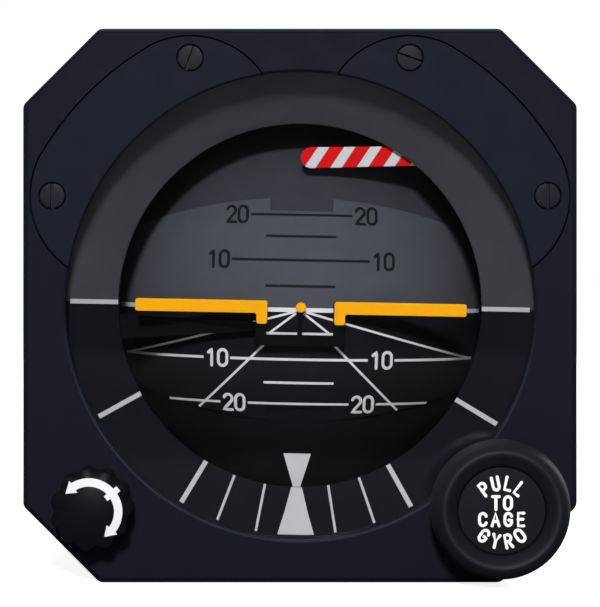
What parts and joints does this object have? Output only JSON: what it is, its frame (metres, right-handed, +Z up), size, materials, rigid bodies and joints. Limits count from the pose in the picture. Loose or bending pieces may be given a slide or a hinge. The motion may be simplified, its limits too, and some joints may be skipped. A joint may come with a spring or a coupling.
{
  "type": "attitude indicator",
  "caption": "Square panel-mounted standby gyro attitude indicator with a clipped-corner bezel, pitching and rolling ball, trim knob, pull-to-erect knob and rear connector.",
  "frame": {"origin": "on the roll axis, in the plane of the bezel's rear face, which seats on the instrument panel", "axes": "+Y aft along the roll axis, +Z up, +X to the right seen from the front"},
  "size_m": [0.0828, 0.2195, 0.0828],
  "materials": {
    "bezel_paint": "semi-matte near-black",
    "cover_paint": "semi-matte near-black, a little bluer",
    "black_screw": "black oxide",
    "glass": "clear, coated",
    "bulb_glass": "clear bulb",
    "rubber_seal": "matte",
    "dial_paint": "matte grey over matte black",
    "cast_aluminium": "fine cast",
    "machined_aluminium": "machined",
    "case_paint": "satin black",
    "bearing_steel": "ground",
    "plated_steel": "zinc plated",
    "board": "green epoxy laminate",
    "winding_tape": "taped winding in a dark core",
    "insulation": "moulded",
    "connector_plating": "olive drab plating",
    "contact_insert": "moulded insert",
    "brass_bush": "turned",
    "slip_ring_gold": "gold plated rings on an insulating sleeve",
    "ball_sky": "matte dark grey",
    "ball_ground": "matte black",
    "ball_scale": "matte grey above the horizon, black below",
    "pointer_white": "matte white",
    "gyro_housing_metal": "machined casting",
    "rotor_brass": "turned heavy alloy",
    "knob_plastic": "moulded black",
    "cap_plastic": "matte black with a white legend",
    "trim_plastic": "glossy black with a white double arrow",
    "spring_steel": "wire",
    "symbol_yellow": "matte yellow-orange",
    "bracket_black": "matte black",
    "flag_stripes": "red and white slanted stripes"
  },
  "bodies": {
    "case": {"bezel": "bezel_paint", "lamp_cover_left": "cover_paint", "lamp_cover_right": "cover_paint", "cover_screw_1": "black_screw", "cover_screw_2": "black_screw", "cover_screw_3": "black_screw", "cover_screw_4": "black_screw", "dial_lamp_left": "bulb_glass", "dial_lamp_right": "bulb_glass", "cover_glass": "glass", "glass_gasket": "rubber_seal", "dial_ring": "dial_paint", "dial_plate": "cast_aluminium", "case_sleeve": "case_paint", "rear_cover": "case_paint", "rear_screw_1": "plated_steel", "rear_screw_2": "plated_steel", "rear_screw_3": "plated_steel", "rear_screw_4": "plated_steel", "front_bulkhead": "cast_aluminium", "rear_bulkhead": "cast_aluminium", "front_bearing": "bearing_steel", "rear_bearing": "bearing_steel", "power_board": "board", "transformer": "winding_tape", "brush_block": "insulation", "connector_shell": "connector_plating", "connector_insert": "contact_insert", "erect_switch": "insulation", "erect_bushing": "brass_bush", "trim_bushing": "brass_bush", "flag_motor": "plated_steel"},
    "roll_gimbal": {"ball_yoke": "machined_aluminium", "bank_pointer": "pointer_white", "roll_shaft": "bearing_steel", "gyro_frame": "machined_aluminium", "slip_rings": "slip_ring_gold"},
    "ball": {"ball_sky_half": "ball_sky", "ball_ground_half": "ball_ground", "ball_scale_plate": "ball_scale", "ball_axle": "bearing_steel"},
    "pitch_rack": {"rack_rod": "bearing_steel", "ball_rack": "brass_bush", "gyro_rack": "brass_bush"},
    "gyro": {"gyro_housing": "gyro_housing_metal", "housing_cover": "gyro_housing_metal", "pitch_gear": "brass_bush"},
    "rotor": {"rotor": "rotor_brass"},
    "erect_pull": {"erect_knob": "knob_plastic", "erect_knob_cap": "cap_plastic", "erect_shaft": "bearing_steel", "erect_spring": "spring_steel"},
    "trim": {"trim_knob": "trim_plastic", "trim_shaft": "bearing_steel"},
    "miniature_aircraft": {"symbol_slider": "machined_aluminium", "symbol_bracket": "bracket_black", "aircraft_symbol": "symbol_yellow"},
    "flag": {"flag_blade": "flag_stripes", "flag_shaft": "bearing_steel"}
  },
  "joints": [
    {"name": "roll", "type": "hinge", "parent": "case", "child": "roll_gimbal", "pos_m": [0, 0.0305, 0], "axis": [0, 1, 0], "continuous": true},
    {"name": "gyro_pitch", "type": "hinge", "parent": "roll_gimbal", "child": "gyro", "pos_m": [0, 0.1283, 0], "axis": [0.9998, 0, -0.0192], "range_deg": [-60, 60]},
    {"name": "ball_pitch", "type": "hinge", "parent": "roll_gimbal", "child": "ball", "pos_m": [0, 0.0305, 0], "axis": [0.9998, 0, -0.0192], "range_deg": [-85, 85]},
    {"name": "rack_travel", "type": "slide", "parent": "roll_gimbal", "child": "pitch_rack", "axis": [0, 1, 0], "range_m": [-0.0059, 0.0059]},
    {"name": "rotor_spin", "type": "hinge", "parent": "gyro", "child": "rotor", "pos_m": [0, 0.1283, 0], "axis": [0.0192, 0, 0.9998], "continuous": true},
    {"name": "erect_pull_out", "type": "slide", "parent": "case", "child": "erect_pull", "axis": [0, -1, 0], "range_m": [0, 0.005], "stiffness_N_per_m": 600, "springref_m": -0.004, "deforming": ["erect_spring"]},
    {"name": "trim_turn", "type": "hinge", "parent": "case", "child": "trim", "pos_m": [-0.0307, 0, -0.0299], "axis": [0, 1, 0], "range_deg": [-44, 44]},
    {"name": "symbol_height", "type": "slide", "parent": "case", "child": "miniature_aircraft", "axis": [0, 0, 1], "range_m": [-0.00245, 0.00245]},
    {"name": "flag_swing", "type": "hinge", "parent": "case", "child": "flag", "pos_m": [0.033, 0, 0.0215], "axis": [0, 1, 0], "range_deg": [0, 18]}
  ],
  "couplings": [
    {"joint": "ball_pitch", "follows": "gyro_pitch", "ratio": -1.4},
    {"joint": "rack_travel", "follows": "gyro_pitch", "m_per_rad": 0.0056},
    {"joint": "trim_turn", "follows": "symbol_height", "rad_per_m": -312.5}
  ]
}
